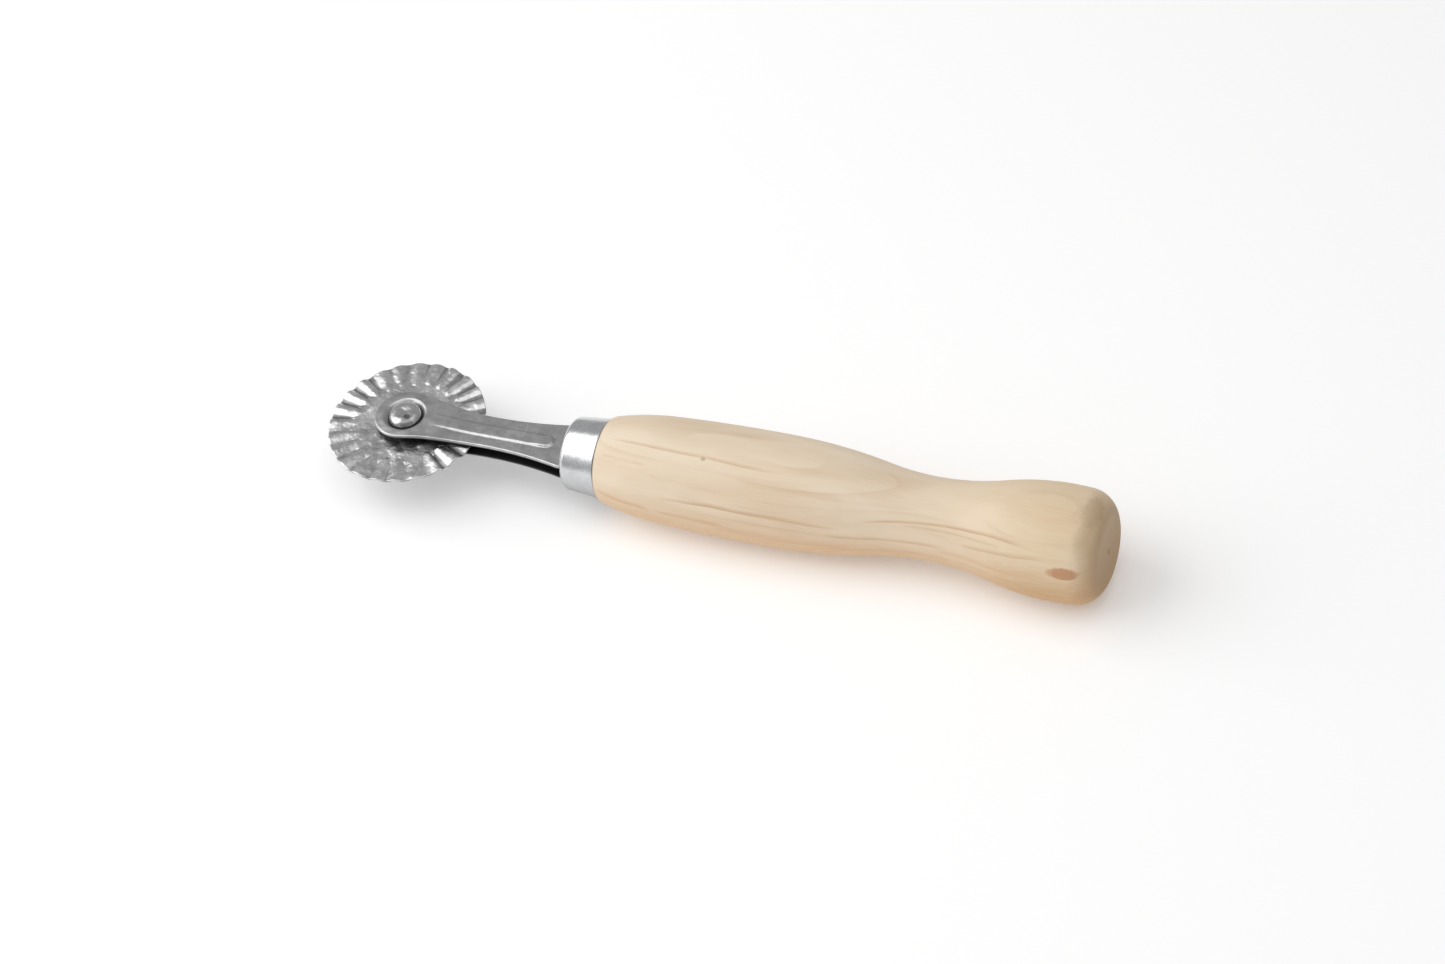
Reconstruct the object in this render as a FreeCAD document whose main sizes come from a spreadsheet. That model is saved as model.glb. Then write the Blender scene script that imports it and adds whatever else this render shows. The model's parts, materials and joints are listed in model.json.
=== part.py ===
"""Pastry cutter wheel: a fluted steel wheel in a two-arm fork, on a turned wooden handle.

Frame: +X runs along the handle from the wheel to the butt, +Z is the wheel's axle, and the
origin is under the middle of the tool, on the level of the handle's lowest point.
Every body is modelled about its own reference point and then placed in that frame.
"""
import FreeCAD, Part
import math
import os

import Sketcher

Vector = FreeCAD.Vector
ORIGIN = (-1, 1)            # a sketch's origin point
HORIZONTAL_AXIS = -1
VERTICAL_AXIS = -2
START, END, CENTRE = 1, 2, 3

doc = FreeCAD.newDocument("pastry_cutter_wheel")

# ---------------------------------------------------------------- driving dimensions (mm, degrees)
DIMENSIONS = [
    # where the pieces stand
    ("wheel_station", -81.6, "axle, along X"),
    ("axis_height", 14.1, "handle axis and wheel plane, above the resting level"),
    ("ferrule_station", -36.1, "front lip of the ferrule, along X"),
    ("wood_station", -34.3, "front of the handle's spigot, along X"),
    # fluted wheel
    ("wheel_radius", 20.0, "to the rim"),
    ("wheel_sheet", 0.6, "sheet thickness"),
    ("wheel_bore", 2.56, "bore radius, runs on the sleeve"),
    ("flute_count", 24, "flutes round the wheel"),
    ("flute_start", 12.4, "radius where the flutes begin"),
    ("flute_shoulder", 13.8, "radius where the flutes are formed"),
    ("shoulder_wave", 0.34, "flute height above the wheel plane there"),
    ("rim_wave", 0.46, "flute height above the wheel plane at the rim"),
    # axle
    ("shank_radius", 1.7, "rivet shank"),
    ("head_radius", 4.1, "domed rivet head"),
    ("head_rim", 0.4, "straight edge of the head"),
    ("head_height", 1.9, "domed head, with its edge"),
    ("formed_radius", 3.8, "hammered head"),
    ("formed_height", 1.5, "hammered head, with its edge"),
    ("sleeve_radius", 2.5, "spacer sleeve, outside"),
    ("sleeve_bore", 1.75, "spacer sleeve, inside"),
    ("washer_radius", 4.6, "hub washer, outside"),
    ("washer_bore", 2.6, "hub washer, inside"),
    ("washer_sheet", 0.8, "hub washer thickness"),
    # fork arm, heights above the wheel plane
    ("arm_sheet", 0.9, "sheet thickness"),
    ("boss_top", 3.25, "outer face round the axle"),
    ("shaft_top", 2.3, "outer face behind the wheel"),
    ("tang_top", 0.95, "outer face of the tang"),
    ("joggle_start", 6.0, "the arm steps in from here"),
    ("joggle_end", 17.0, "to here"),
    ("shaft_end", 48.0, "the arm leaves its level run here"),
    ("tang_start", 52.0, "the tang's level run begins"),
    ("tang_end", 88.0, "tip of the tang"),
    ("boss_radius", 7.7, "round end of the arm"),
    ("waist_half", 5.0, "half width at the narrowest"),
    ("flank_radius", 100.0, "hollow flank of the arm"),
    ("flare_end", 44.2, "the flare ends here"),
    ("tang_half", 4.0, "half width of the tang"),
    ("dish_floor", 2.1, "outer face of the dish round the rivet"),
    ("dish_floor_radius", 4.7, "dish, at its floor"),
    ("dish_mouth_radius", 5.6, "dish, at the arm's face"),
    ("rivet_hole", 1.75, "hole for the rivet"),
    ("rib_start", 7.0, "rib, near the axle"),
    ("rib_end", 38.9, "centre of the rib's round end"),
    ("rib_half", 1.95, "half width of the rib"),
    ("rib_rise", 0.65, "height of the rib"),
    ("rib_crown", 3.25, "radius of the rib's crown"),
    ("channel_start", 12.0, "channel behind the rib"),
    ("channel_half", 1.4, "half width of the channel"),
    ("channel_depth", 0.5, "depth of the channel"),
    ("channel_crown", 2.21, "radius of the channel's crown"),
    # ferrule, along X from its front lip
    ("ferrule_length", 9.6, "lip to rear edge"),
    ("ferrule_wall", 0.6, "wall thickness"),
    ("ferrule_front", 9.2, "outer radius behind the lip"),
    ("ferrule_rear", 10.0, "outer radius at the rear edge"),
    ("lip_radius", 1.6, "rounded lip"),
    # handle, along X from the front of its spigot
    ("spigot_front", 8.55, "spigot radius at its front"),
    ("spigot_rear", 9.37, "spigot radius at the shoulder"),
    ("shoulder_station", 7.8, "shoulder that meets the ferrule"),
    ("grip_length", 128.1, "shoulder to butt"),
    # grip outline: places behind the shoulder, radii there, and the arc that runs on from each
    ("shoulder_radius", 10.2, "grip radius at the shoulder"),
    ("shoulder_arc", 4.1, "broken front edge"),
    ("neck_station", 1.5, "behind the shoulder"),
    ("neck_radius", 10.95, "grip radius there"),
    ("neck_arc", 72.0, "swell behind the ferrule"),
    ("fore_station", 16.0, "behind the shoulder"),
    ("fore_radius", 13.2, "grip radius there"),
    ("fore_arc", 470.0, "long flat belly"),
    ("aft_station", 46.8, "behind the shoulder"),
    ("aft_radius", 13.8, "grip radius there"),
    ("aft_arc", 143.0, "fall towards the hollow"),
    ("hollow_station", 71.6, "behind the shoulder"),
    ("hollow_radius", 11.3, "grip radius there"),
    ("hollow_arc", 68.0, "hollow before the bulb"),
    ("bulb_station", 100.8, "behind the shoulder"),
    ("bulb_radius", 12.1, "grip radius there"),
    ("bulb_arc", 66.0, "bulb"),
    ("crown_station", 122.0, "behind the shoulder"),
    ("crown_radius", 13.9, "grip radius there"),
    ("crown_arc", 7.0, "rounded butt edge"),
    ("butt_face", 9.0, "radius of the flat butt face"),
    ("centre_mark", 0.8, "lathe centre mark, radius and depth"),
    ("mouth_half_width", 7.3, "mortise mouth"),
    ("mouth_half_height", 2.4, "mortise mouth"),
    ("mouth_depth", 5.4, "mortise mouth"),
    ("slot_half_width", 4.1, "tang slot"),
    ("slot_half_height", 1.0, "tang slot"),
    ("slot_depth", 42.0, "tang slot"),
]

sheet = doc.addObject("Spreadsheet::Sheet", "dims")
for row, (alias, number, meaning) in enumerate(DIMENSIONS, start=1):
    sheet.set(f"A{row}", meaning)
    sheet.set(f"B{row}", str(number))
    sheet.setAlias(f"B{row}", alias)
doc.recompute()


def size(alias):
    """The value of one cell of the sheet."""
    return float(sheet.get(alias))


def value(formula):
    """The number that a formula such as "dims.a - dims.b" comes to: a signed sum of cells."""
    total = 0.0
    sign = 1.0
    for word in formula.split():
        if word in ("+", "-"):
            sign = 1.0 if word == "+" else -1.0
        elif word.startswith("dims."):
            total += sign * size(word[len("dims."):])
        else:
            total += sign * float(word)
    return total


# ---------------------------------------------------------------- sketch helpers
def new_body(label):
    """An empty body whose label is the name of its node."""
    body = doc.addObject("PartDesign::Body", label)
    body.Label = label
    return body


def new_sketch(body, name, role, offset=None):
    """A sketch on one of the body's origin planes, moved along the plane's normal by a formula."""
    sketch = body.newObject("Sketcher::SketchObject", name)
    plane = [item for item in body.Origin.OriginFeatures if item.Role == role][0]
    sketch.AttachmentSupport = [(plane, "")]
    sketch.MapMode = "FlatFace"
    if offset:
        sketch.setExpression("AttachmentOffset.Base.z", offset)
    return sketch


def bind(sketch, kind, references, formula):
    """Adds one dimension to a sketch and ties it to the sheet."""
    index = sketch.addConstraint(Sketcher.Constraint(kind, *references, value(formula)))
    sketch.setExpression(f"Constraints[{index}]", formula)


def pin_point(sketch, geometry, point, place):
    """Holds a point of the sketch at a place given by two formulas."""
    across, up = place
    for kind, axis, formula in (("DistanceX", VERTICAL_AXIS, across), ("DistanceY", HORIZONTAL_AXIS, up)):
        if formula == "0":
            sketch.addConstraint(Sketcher.Constraint("PointOnObject", geometry, point, axis))
        else:
            bind(sketch, kind, (*ORIGIN, geometry, point), formula)


def arc_about(centre, start, end):
    """The anticlockwise arc about a centre, from start to end."""
    first = math.atan2(start.y - centre.y, start.x - centre.x)
    last = math.atan2(end.y - centre.y, end.x - centre.x)
    if last < first:
        last += 2 * math.pi
    circle = Part.Circle(centre, Vector(0, 0, 1), centre.distanceToPoint(start))
    return Part.ArcOfCircle(circle, first, last)


def outline(sketch, places, arcs=None):
    """A closed outline through places, given as formulas.

    arcs maps an edge's number to its radius and the side it bulges to, seen along the edge.
    The radius "dome" is that of a crown centred on the sketch's vertical axis.
    """
    arcs = arcs or {}
    points = [Vector(value(across), value(up), 0) for across, up in places]
    edges = []
    heads = []
    tails = []
    for number, (start, end) in enumerate(zip(points, points[1:] + points[:1])):
        if number not in arcs:
            edges.append(sketch.addGeometry(Part.LineSegment(start, end)))
            heads.append(START)
            tails.append(END)
            continue
        formula, side = arcs[number]
        chord = end - start
        radius = chord.Length ** 2 / (2 * abs(chord.y)) if formula == "dome" else value(formula)
        left = Vector(-chord.y, chord.x, 0).normalize()
        depth = math.sqrt(radius ** 2 - (chord.Length / 2) ** 2)
        bulges_left = side == "left"
        centre = (start + end) * 0.5 + left * (-depth if bulges_left else depth)
        arc = arc_about(centre, end, start) if bulges_left else arc_about(centre, start, end)
        edges.append(sketch.addGeometry(arc))
        heads.append(END if bulges_left else START)
        tails.append(START if bulges_left else END)
    for number, edge in enumerate(edges):
        after = (number + 1) % len(edges)
        meeting = (edge, tails[number], edges[after], heads[after])
        sketch.addConstraint(Sketcher.Constraint("Coincident", *meeting))
        pin_point(sketch, edge, heads[number], places[number])
        if number in arcs and arcs[number][0] == "dome":
            sketch.addConstraint(Sketcher.Constraint("PointOnObject", edge, CENTRE, VERTICAL_AXIS))
        elif number in arcs:
            bind(sketch, "Radius", (edge,), arcs[number][0])


def centred_circle(sketch, radius):
    """A circle about the sketch's origin."""
    circle = sketch.addGeometry(Part.Circle(Vector(0, 0, 0), Vector(0, 0, 1), value(radius)))
    sketch.addConstraint(Sketcher.Constraint("Coincident", circle, CENTRE, *ORIGIN))
    bind(sketch, "Radius", (circle,), radius)


def add_feature(body, kind, name, profile, length=None, **settings):
    """A PartDesign feature on a profile. Its volume has to change the right way, or it raises."""
    doc.recompute()
    before = body.Shape.Volume if body.Tip else 0.0
    feature = body.newObject("PartDesign::" + kind, name)
    feature.Profile = profile
    for key, setting in settings.items():
        setattr(feature, key, setting)
    if length:
        feature.Length = value(length)
        feature.setExpression("Length", length)
    doc.recompute()
    change = body.Shape.Volume - before
    removes = kind in ("Pocket", "Groove")
    if (removes and change >= 0) or (not removes and change <= 0):
        raise RuntimeError(f"{body.Label}: {name} changes the volume by {change}")
    return feature


def turn_about(body, kind, name, sketch, axis):
    """A full turn of a profile about one of its sketch's axes, as a Revolution or a Groove."""
    return add_feature(body, kind, name, sketch, ReferenceAxis=(sketch, [axis]), Angle=360.0)


def place(body, station, turn=0.0):
    """Moves a body to its station along X, up to the tool's axis, and turns it about X."""
    body.Placement.Rotation = FreeCAD.Rotation(Vector(1, 0, 0), turn)
    body.setExpression("Placement.Base.x", station)
    body.setExpression("Placement.Base.z", "dims.axis_height")
    return body


# ---------------------------------------------------------------- handle and ferrule
def make_handle():
    """Turned handle: spigot, shoulder, long swelling grip, hollow, bulb and a flat butt.

    The grip's outline is a chain of arcs, each running into the next.
    """
    body = new_body("handle")
    sketch = new_sketch(body, "turned_profile", "XZ_Plane")
    butt = "dims.shoulder_station + dims.grip_length"
    places = [
        ("0", "0"),
        ("0", "dims.spigot_front"),
        ("dims.shoulder_station", "dims.spigot_rear"),
        ("dims.shoulder_station", "dims.shoulder_radius"),
    ]
    first_arc = len(places) - 1
    joints = ("neck", "fore", "aft", "hollow", "bulb", "crown")
    for joint in joints:
        places.append((f"dims.shoulder_station + dims.{joint}_station", f"dims.{joint}_radius"))
    places += [
        (butt, "dims.butt_face"),
        (butt, "dims.centre_mark"),
        (butt + " - dims.centre_mark", "0"),
    ]
    arcs = {}
    for number, joint in enumerate(("shoulder",) + joints, start=first_arc):
        arcs[number] = (f"dims.{joint}_arc", "right" if joint == "hollow" else "left")
    outline(sketch, places, arcs)
    turn_about(body, "Revolution", "turning", sketch, "H_Axis")

    for name in ("mouth", "slot"):
        half_width = f"dims.{name}_half_width"
        half_height = f"dims.{name}_half_height"
        section = new_sketch(body, name + "_section", "YZ_Plane")
        outline(section, [
            ("0 - " + half_width, "0 - " + half_height),
            (half_width, "0 - " + half_height),
            (half_width, half_height),
            ("0 - " + half_width, half_height),
        ])
        add_feature(body, "Pocket", name, section, length=f"dims.{name}_depth", Reversed=True)
    return place(body, "dims.wood_station")


def make_ferrule():
    """Drawn steel ferrule: a slightly conical shell whose front edge is rolled inwards."""
    body = new_body("ferrule")
    sketch = new_sketch(body, "shell_section", "XZ_Plane")
    outline(sketch, [
        ("0", "dims.ferrule_front - dims.lip_radius"),
        ("dims.lip_radius", "dims.ferrule_front"),
        ("dims.ferrule_length", "dims.ferrule_rear"),
        ("dims.ferrule_length", "dims.ferrule_rear - dims.ferrule_wall"),
        ("dims.lip_radius", "dims.ferrule_front - dims.ferrule_wall"),
        ("dims.ferrule_wall", "dims.ferrule_front - dims.lip_radius"),
    ], arcs={0: ("dims.lip_radius", "left"), 4: ("dims.lip_radius - dims.ferrule_wall", "right")})
    turn_about(body, "Revolution", "shell", sketch, "H_Axis")
    return place(body, "dims.ferrule_station")


# ---------------------------------------------------------------- fork
def make_fork_arm(label, turn):
    """Pressed sheet arm: round end, stepped-in shaft with a rib, flare at the ferrule, and a tang.

    The arm is drawn above the wheel plane. A half turn about X makes its twin below the wheel.
    """
    body = new_body(label)
    side = new_sketch(body, "side_profile", "XZ_Plane")
    upper = [
        ("0 - dims.boss_radius - 1", "dims.boss_top"),
        ("dims.joggle_start", "dims.boss_top"),
        ("dims.joggle_end", "dims.shaft_top"),
        ("dims.shaft_end", "dims.shaft_top"),
        ("dims.tang_start", "dims.tang_top"),
        ("dims.tang_end", "dims.tang_top"),
    ]
    under = [(along, level + " - dims.arm_sheet") for along, level in reversed(upper)]
    outline(side, upper + under)
    width = "dims.boss_radius + dims.boss_radius + 4"
    add_feature(body, "Pad", "bent_strip", side, length=width, Midplane=True)
    cut_plan(body)
    press_dish(body)
    hole = new_sketch(body, "rivet_hole_circle", "XY_Plane")
    centred_circle(hole, "dims.rivet_hole")
    add_feature(body, "Pocket", "rivet_hole", hole, Type="ThroughAll", Reversed=True)
    press_rib(body)
    press_channel(body)
    return place(body, "dims.wheel_station", turn)


def cut_plan(body):
    """Cuts the strip to its plan: a round nose, two hollow flanks, a flare and a narrow tang."""
    plan = new_sketch(body, "plan_outline", "XY_Plane")
    front = "0 - dims.boss_radius - 5"
    beyond = "dims.boss_radius + 5"
    outline(plan, [
        (front, front),
        ("dims.tang_end + 5", front),
        ("dims.tang_end + 5", beyond),
        (front, beyond),
    ])
    flank = size("flank_radius")
    centre_up = flank + size("waist_half")
    centre_along = math.sqrt((flank + size("boss_radius")) ** 2 - centre_up ** 2)
    flare = size("flare_end")
    flare_half = centre_up - math.sqrt(flank ** 2 - (flare - centre_along) ** 2)
    toe = Vector(centre_along, centre_up, 0).normalize() * size("boss_radius")
    far_toe, near_toe = toe, Vector(toe.x, -toe.y, 0)
    far_centre, near_centre = Vector(centre_along, centre_up, 0), Vector(centre_along, -centre_up, 0)
    nose = plan.addGeometry(arc_about(Vector(0, 0, 0), far_toe, near_toe))
    far = plan.addGeometry(arc_about(far_centre, far_toe, Vector(flare, flare_half, 0)))
    near = plan.addGeometry(arc_about(near_centre, Vector(flare, -flare_half, 0), near_toe))
    plan.addConstraint(Sketcher.Constraint("Coincident", nose, CENTRE, *ORIGIN))
    plan.addConstraint(Sketcher.Constraint("Tangent", nose, START, far, START))
    plan.addConstraint(Sketcher.Constraint("Tangent", nose, END, near, END))
    bind(plan, "Radius", (nose,), "dims.boss_radius")
    for arc, flare_point, centre_height in (
        (far, END, "dims.flank_radius + dims.waist_half"),
        (near, START, "0 - dims.flank_radius - dims.waist_half"),
    ):
        bind(plan, "Radius", (arc,), "dims.flank_radius")
        bind(plan, "DistanceX", (*ORIGIN, arc, flare_point), "dims.flare_end")
        bind(plan, "DistanceY", (*ORIGIN, arc, CENTRE), centre_height)

    steps = [
        (flare, flare_half),
        (size("shaft_end"), flare_half),
        (size("tang_start"), size("tang_half")),
        (size("tang_end"), size("tang_half")),
    ]
    loop = steps + [(along, -half) for along, half in reversed(steps)]
    corners = [Vector(along, half, 0) for along, half in loop]
    lines = [plan.addGeometry(Part.LineSegment(a, b)) for a, b in zip(corners, corners[1:])]
    plan.addConstraint(Sketcher.Constraint("Coincident", far, END, lines[0], START))
    for before, after in zip(lines, lines[1:]):
        plan.addConstraint(Sketcher.Constraint("Coincident", before, END, after, START))
    plan.addConstraint(Sketcher.Constraint("Coincident", lines[-1], END, near, START))
    for line in (lines[0], lines[-1]):
        plan.addConstraint(Sketcher.Constraint("Horizontal", line))
    bind(plan, "DistanceX", (*ORIGIN, lines[0], END), "dims.shaft_end")
    bind(plan, "DistanceX", (*ORIGIN, lines[-1], START), "dims.shaft_end")
    pin_point(plan, lines[2], START, ("dims.tang_start", "dims.tang_half"))
    pin_point(plan, lines[3], START, ("dims.tang_end", "dims.tang_half"))
    pin_point(plan, lines[4], START, ("dims.tang_end", "0 - dims.tang_half"))
    pin_point(plan, lines[5], START, ("dims.tang_start", "0 - dims.tang_half"))
    add_feature(body, "Pocket", "plan_cut", plan, Type="ThroughAll", Reversed=True)


def press_dish(body):
    """The dish round the rivet: a boss towards the wheel, and its hollow on the outer face."""
    boss = new_sketch(body, "dish_boss_section", "XZ_Plane")
    outline(boss, [
        ("0", "dims.dish_floor - dims.arm_sheet"),
        ("dims.dish_floor_radius", "dims.dish_floor - dims.arm_sheet"),
        ("dims.dish_mouth_radius", "dims.boss_top - dims.arm_sheet"),
        ("dims.dish_mouth_radius", "dims.boss_top"),
        ("0", "dims.boss_top"),
    ])
    turn_about(body, "Revolution", "dish_boss", boss, "V_Axis")
    hollow = new_sketch(body, "dish_hollow_section", "XZ_Plane")
    outline(hollow, [
        ("0", "dims.dish_floor"),
        ("dims.dish_floor_radius", "dims.dish_floor"),
        ("dims.dish_mouth_radius", "dims.boss_top"),
        ("0", "dims.boss_top"),
    ])
    turn_about(body, "Groove", "dish_hollow", hollow, "V_Axis")


def press_rib(body):
    """The rib raised on the shaft's outer face. Its front end runs out in the joggle."""
    foot = "dims.shaft_top - 0.4"
    section = new_sketch(body, "rib_section", "YZ_Plane", "dims.rib_start")
    outline(section, [
        ("0 - dims.rib_half", foot),
        ("0 - dims.rib_half", "dims.shaft_top"),
        ("dims.rib_half", "dims.shaft_top"),
        ("dims.rib_half", foot),
    ], arcs={1: ("dims.rib_crown", "left")})
    add_feature(body, "Pad", "rib", section, length="dims.rib_end - dims.rib_start")
    round_end = new_sketch(body, "rib_end_section", "XZ_Plane")
    outline(round_end, [
        ("dims.rib_end", foot),
        ("dims.rib_end", "dims.shaft_top + dims.rib_rise"),
        ("dims.rib_end + dims.rib_half", "dims.shaft_top"),
        ("dims.rib_end + dims.rib_half", foot),
    ], arcs={1: ("dims.rib_crown", "left")})
    add_upright_axis(round_end, "dims.rib_end")
    turn_about(body, "Revolution", "rib_round_end", round_end, "Axis0")


def press_channel(body):
    """The channel in the shaft's inner face, behind the rib."""
    level = "dims.shaft_top - dims.arm_sheet"
    foot = level + " - 0.4"
    section = new_sketch(body, "channel_section", "YZ_Plane", "dims.channel_start")
    outline(section, [
        ("0 - dims.channel_half", foot),
        ("0 - dims.channel_half", level),
        ("dims.channel_half", level),
        ("dims.channel_half", foot),
    ], arcs={1: ("dims.channel_crown", "left")})
    length = "dims.rib_end - dims.channel_start"
    add_feature(body, "Pocket", "channel", section, length=length, Reversed=True)
    round_end = new_sketch(body, "channel_end_section", "XZ_Plane")
    outline(round_end, [
        ("dims.rib_end", foot),
        ("dims.rib_end", level + " + dims.channel_depth"),
        ("dims.rib_end + dims.channel_half", level),
        ("dims.rib_end + dims.channel_half", foot),
    ], arcs={1: ("dims.channel_crown", "left")})
    add_upright_axis(round_end, "dims.rib_end")
    turn_about(body, "Groove", "channel_round_end", round_end, "Axis0")


def add_upright_axis(sketch, station):
    """A construction line parallel to the sketch's vertical axis, for a revolution."""
    along = value(station)
    line = sketch.addGeometry(Part.LineSegment(Vector(along, -1, 0), Vector(along, 1, 0)), True)
    pin_point(sketch, line, START, (station, "0 - 1"))
    pin_point(sketch, line, END, (station, "1"))


# ---------------------------------------------------------------- axle
def make_rivet():
    """The axle: a shank with a domed head above the fork and a hammered head below it."""
    body = new_body("axle_rivet")
    sketch = new_sketch(body, "rivet_section", "XZ_Plane")
    outline(sketch, [
        ("0", "dims.dish_floor + dims.head_height"),
        ("dims.head_radius", "dims.dish_floor + dims.head_rim"),
        ("dims.head_radius", "dims.dish_floor"),
        ("dims.shank_radius", "dims.dish_floor"),
        ("dims.shank_radius", "0 - dims.dish_floor"),
        ("dims.formed_radius", "0 - dims.dish_floor"),
        ("dims.formed_radius", "0 - dims.dish_floor - dims.head_rim"),
        ("0", "0 - dims.dish_floor - dims.formed_height"),
    ], arcs={0: ("dome", "left"), 6: ("dome", "left")})
    turn_about(body, "Revolution", "rivet", sketch, "V_Axis")
    return place(body, "dims.wheel_station")


def make_sleeve():
    """Spacer sleeve on the shank: it holds the arms apart, and the wheel turns on it."""
    body = new_body("axle_sleeve")
    sketch = new_sketch(body, "sleeve_rings", "XY_Plane")
    centred_circle(sketch, "dims.sleeve_radius")
    centred_circle(sketch, "dims.sleeve_bore")
    inner_face = "dims.dish_floor - dims.arm_sheet"
    add_feature(body, "Pad", "sleeve", sketch, length=f"{inner_face} + {inner_face}", Midplane=True)
    return place(body, "dims.wheel_station")


def make_washer(label, turn):
    """Hub washer between the wheel and the inner face of an arm's dish."""
    body = new_body(label)
    foot = "dims.dish_floor - dims.arm_sheet - dims.washer_sheet"
    sketch = new_sketch(body, "washer_rings", "XY_Plane", foot)
    centred_circle(sketch, "dims.washer_radius")
    centred_circle(sketch, "dims.washer_bore")
    add_feature(body, "Pad", "washer", sketch, length="dims.washer_sheet")
    return place(body, "dims.wheel_station", turn)


# ---------------------------------------------------------------- wheel
def wave_strip(radius, wave, half_pitch):
    """The closed section of one flute at a radius: a round crest between two sharp valleys.

    It is one sheet thick and runs from valley to valley. A wave of zero height is a flat strip.
    """
    reach = radius * math.tan(half_pitch)
    steps = 12
    middle = []
    for step in range(steps + 1):
        across = reach * (2 * step / steps - 1)
        crest = 2 * math.cos(math.pi / 2 * across / reach) - 1
        middle.append(Vector(radius, across, wave * crest))
    half_sheet = Vector(0, 0, size("wheel_sheet") / 2)
    top = Part.BSplineCurve()
    top.interpolate([point + half_sheet for point in middle])
    bottom = Part.BSplineCurve()
    bottom.interpolate([point - half_sheet for point in middle])
    tips = [Part.makeLine(tip + half_sheet, tip - half_sheet) for tip in (middle[0], middle[-1])]
    return Part.Wire([top.toShape(), tips[1], bottom.toShape(), tips[0]])


def make_wheel():
    """Pressed sheet wheel: a flat centre with a bore, and radial flutes out to the rim.

    No primitive or PartDesign feature makes a corrugated sheet, so the shape is lofted here,
    one flute at a time.
    """
    half_pitch = math.pi / size("flute_count")
    sections = [
        wave_strip(size("flute_start"), 0.0, half_pitch),
        wave_strip(size("flute_shoulder"), size("shoulder_wave"), half_pitch),
        wave_strip(size("wheel_radius"), size("rim_wave"), half_pitch),
    ]
    flute = Part.makeLoft(sections, True, True)
    axis = Vector(0, 0, 1)
    underside = Vector(0, 0, -size("wheel_sheet") / 2)
    hub_corner = Vector(size("flute_start"), size("flute_start") * math.tan(half_pitch), 0)
    hub_corners = []
    flutes = []
    for number in range(int(size("flute_count"))):
        turn = FreeCAD.Rotation(axis, math.degrees(2 * half_pitch * number))
        turned = flute.copy()
        turned.Placement = FreeCAD.Placement(Vector(0, 0, 0), turn)
        flutes.append(turned)
        hub_corners.append(turn.multVec(hub_corner) + underside)
    hub_outline = Part.makePolygon(hub_corners + hub_corners[:1])
    hub = Part.Face(hub_outline).extrude(axis * size("wheel_sheet"))
    bore = Part.makeCylinder(size("wheel_bore"), size("wheel_sheet"), underside, axis)
    wheel = doc.addObject("Part::Feature", "pastry_wheel")
    wheel.Label = "pastry_wheel"
    wheel.Shape = hub.multiFuse(flutes).cut(bore)
    wheel.setExpression("Placement.Base.x", "dims.wheel_station")
    wheel.setExpression("Placement.Base.z", "dims.axis_height")
    return wheel


# ---------------------------------------------------------------- assembly
pieces = [
    make_handle(),
    make_ferrule(),
    make_fork_arm("fork_arm_upper", 0.0),
    make_fork_arm("fork_arm_lower", 180.0),
    make_rivet(),
    make_sleeve(),
    make_washer("hub_washer_upper", 0.0),
    make_washer("hub_washer_lower", 180.0),
    make_wheel(),
]
doc.recompute()

for item in doc.Objects:
    faults = [state for state in item.State if state in ("Invalid", "Error")]
    if faults:
        raise RuntimeError(f"{item.Label} is {faults}")
os.makedirs("parts", exist_ok=True)
for piece in pieces:
    if piece.Shape.isNull() or not piece.Shape.isValid() or len(piece.Shape.Solids) != 1:
        raise RuntimeError(f"{piece.Label} has no single valid solid")
    box = piece.Shape.optimalBoundingBox()
    print(f"{piece.Label:18s} {piece.Shape.Volume:9.1f} mm3  x {box.XMin:8.2f} {box.XMax:8.2f}"
          f"  y {box.YMin:7.2f} {box.YMax:7.2f}  z {box.ZMin:6.2f} {box.ZMax:6.2f}")
    piece.Shape.exportStep(f"parts/{piece.Label}.step")
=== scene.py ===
"""Looks of the pastry cutter wheel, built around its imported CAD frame.

Places come from the CAD nodes' boxes and the spin joint. Sizes below are in millimetres, and are
turned into metres where meshes are made. X runs along the tool, Y across it and Z upwards.
"""

import json
import math
import random
from collections import namedtuple

import bpy
from mathutils import Matrix, Vector

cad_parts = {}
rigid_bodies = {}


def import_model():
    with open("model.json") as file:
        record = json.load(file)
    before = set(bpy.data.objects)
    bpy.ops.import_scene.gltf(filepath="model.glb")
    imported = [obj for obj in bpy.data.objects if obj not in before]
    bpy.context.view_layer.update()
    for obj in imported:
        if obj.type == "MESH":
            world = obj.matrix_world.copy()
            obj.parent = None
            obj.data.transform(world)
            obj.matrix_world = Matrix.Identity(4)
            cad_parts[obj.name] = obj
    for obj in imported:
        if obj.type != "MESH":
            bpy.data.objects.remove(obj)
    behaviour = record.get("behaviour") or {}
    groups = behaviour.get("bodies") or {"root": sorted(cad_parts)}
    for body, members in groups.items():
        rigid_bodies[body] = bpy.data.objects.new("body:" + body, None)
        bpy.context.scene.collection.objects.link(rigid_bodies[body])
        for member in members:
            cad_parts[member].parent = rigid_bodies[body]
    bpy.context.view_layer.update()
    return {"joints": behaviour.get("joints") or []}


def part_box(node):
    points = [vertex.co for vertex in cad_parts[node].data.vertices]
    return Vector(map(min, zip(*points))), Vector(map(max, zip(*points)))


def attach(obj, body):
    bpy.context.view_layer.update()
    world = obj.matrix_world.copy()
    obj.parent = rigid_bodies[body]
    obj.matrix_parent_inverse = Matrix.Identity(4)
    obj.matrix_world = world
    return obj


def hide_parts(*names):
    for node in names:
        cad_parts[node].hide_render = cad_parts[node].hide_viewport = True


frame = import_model()

MM = 0.001
SPIN_JOINT = frame["joints"][0]
FRAME_BODY = SPIN_JOINT["parent"]
WHEEL_BODY = SPIN_JOINT["child"]


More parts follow.
